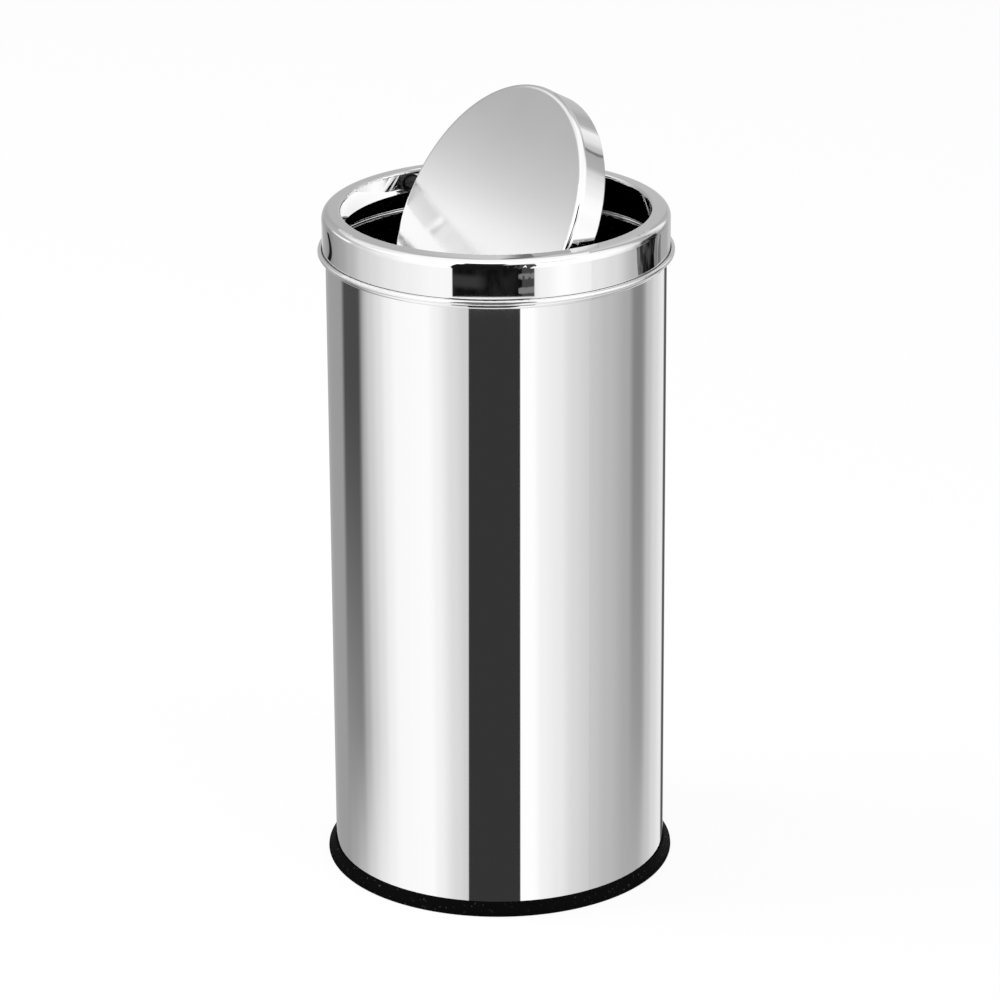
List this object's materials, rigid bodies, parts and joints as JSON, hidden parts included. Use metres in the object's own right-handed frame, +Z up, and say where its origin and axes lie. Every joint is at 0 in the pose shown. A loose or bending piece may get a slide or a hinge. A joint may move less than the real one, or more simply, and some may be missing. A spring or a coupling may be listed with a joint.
{
  "type": "trash can with swing lid",
  "caption": "Tall round polished steel bin with a lift-off collar, a flat round swing lid that turns on side pivots, and a black rubber foot ring.",
  "frame": {"origin": "middle of the foot ring, on the floor", "axes": "+Z up along the shell's axis; the lid's pivots lie along X; -Y is the front, where the lid is pushed down"},
  "size_m": [0.3194, 0.3194, 0.7235],
  "materials": {
    "polished_shell": "mirror-polished stainless steel sheet",
    "polished_collar": "mirror-polished stainless steel pressing",
    "polished_lid": "polished stainless steel pressing, its face softly brushed",
    "plain_steel": "plain mill-finish stainless sheet",
    "bright_zinc": "bright zinc-plated steel",
    "black_rubber": "moulded black rubber, faintly speckled",
    "black_nylon": "moulded black nylon",
    "black_steel": "black-oiled mild steel bar"
  },
  "bodies": {
    "bin": {"body_shell": "polished_shell", "bottom_pan": "plain_steel", "base_ring": "black_rubber"},
    "collar": {"rim_collar": "polished_collar", "pivot_bracket_left": "plain_steel", "pivot_bracket_right": "plain_steel", "pivot_spacer_left": "black_steel", "pivot_spacer_right": "black_steel", "pivot_screws": "bright_zinc", "pivot_washers": "bright_zinc", "pivot_nuts": "bright_zinc"},
    "lid": {"lid_pan": "polished_lid", "pivot_plate_left": "plain_steel", "pivot_plate_right": "plain_steel", "lid_bush_left": "black_nylon", "lid_bush_right": "black_nylon", "weight_strap": "plain_steel", "counterweight": "black_steel", "weight_screws": "bright_zinc", "weight_washers": "bright_zinc", "weight_nuts": "bright_zinc"}
  },
  "joints": [
    {"name": "collar_lift", "type": "slide", "parent": "bin", "child": "collar", "axis": [0, 0, 1], "range_m": [0, 0.15]},
    {"name": "lid_swing", "type": "hinge", "parent": "collar", "child": "lid", "pos_m": [0, 0, 0.6081], "axis": [1, 0, 0], "continuous": true}
  ]
}
